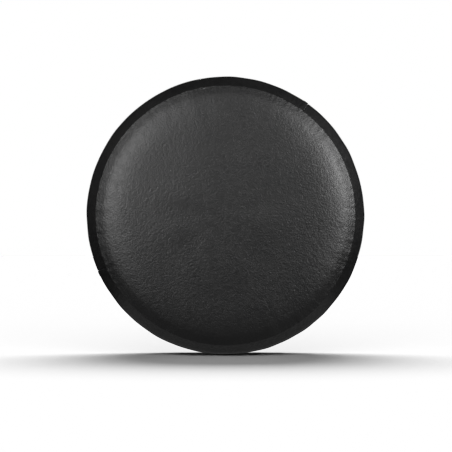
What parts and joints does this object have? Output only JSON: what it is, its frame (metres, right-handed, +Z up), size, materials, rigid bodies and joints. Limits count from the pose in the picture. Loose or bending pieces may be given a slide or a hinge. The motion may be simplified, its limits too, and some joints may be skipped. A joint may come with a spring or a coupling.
{
  "type": "spare tire cover",
  "caption": "Soft round vinyl cover that pulls over a spare tyre: flat face, seamed tread band and an elastic hem that gathers the mouth behind.",
  "frame": {"origin": "on the wheel's axis, at the inside of the face where the tyre's outer side rests", "axes": "+Y along the wheel's axis from the face into the cover, towards the open mouth; +Z up; +X to the right for someone facing the cover's face"},
  "size_m": [0.715, 0.2215, 0.715],
  "materials": {
    "vinyl": "black leather-grained vinyl, semi-matt",
    "lining": "brushed felt",
    "tape": "woven ribbed tape",
    "thread": "bonded polyester thread",
    "elastic": "braided flat elastic"
  },
  "bodies": {
    "root": {"face_panel": "vinyl", "face_lining": "lining", "tread_band_left": "vinyl", "tread_band_right": "vinyl", "band_lining_left": "lining", "band_lining_right": "lining", "join_tape_upper": "tape", "join_tape_lower": "tape", "join_thread_upper": "thread", "join_thread_lower": "thread", "seam_binding": "tape", "seam_thread_front": "thread", "seam_thread_rear": "thread", "hem_casing": "vinyl", "hem_thread_outer": "thread", "hem_thread_inner": "thread", "hem_elastic": "elastic", "elastic_thread": "thread"}
  },
  "joints": []
}
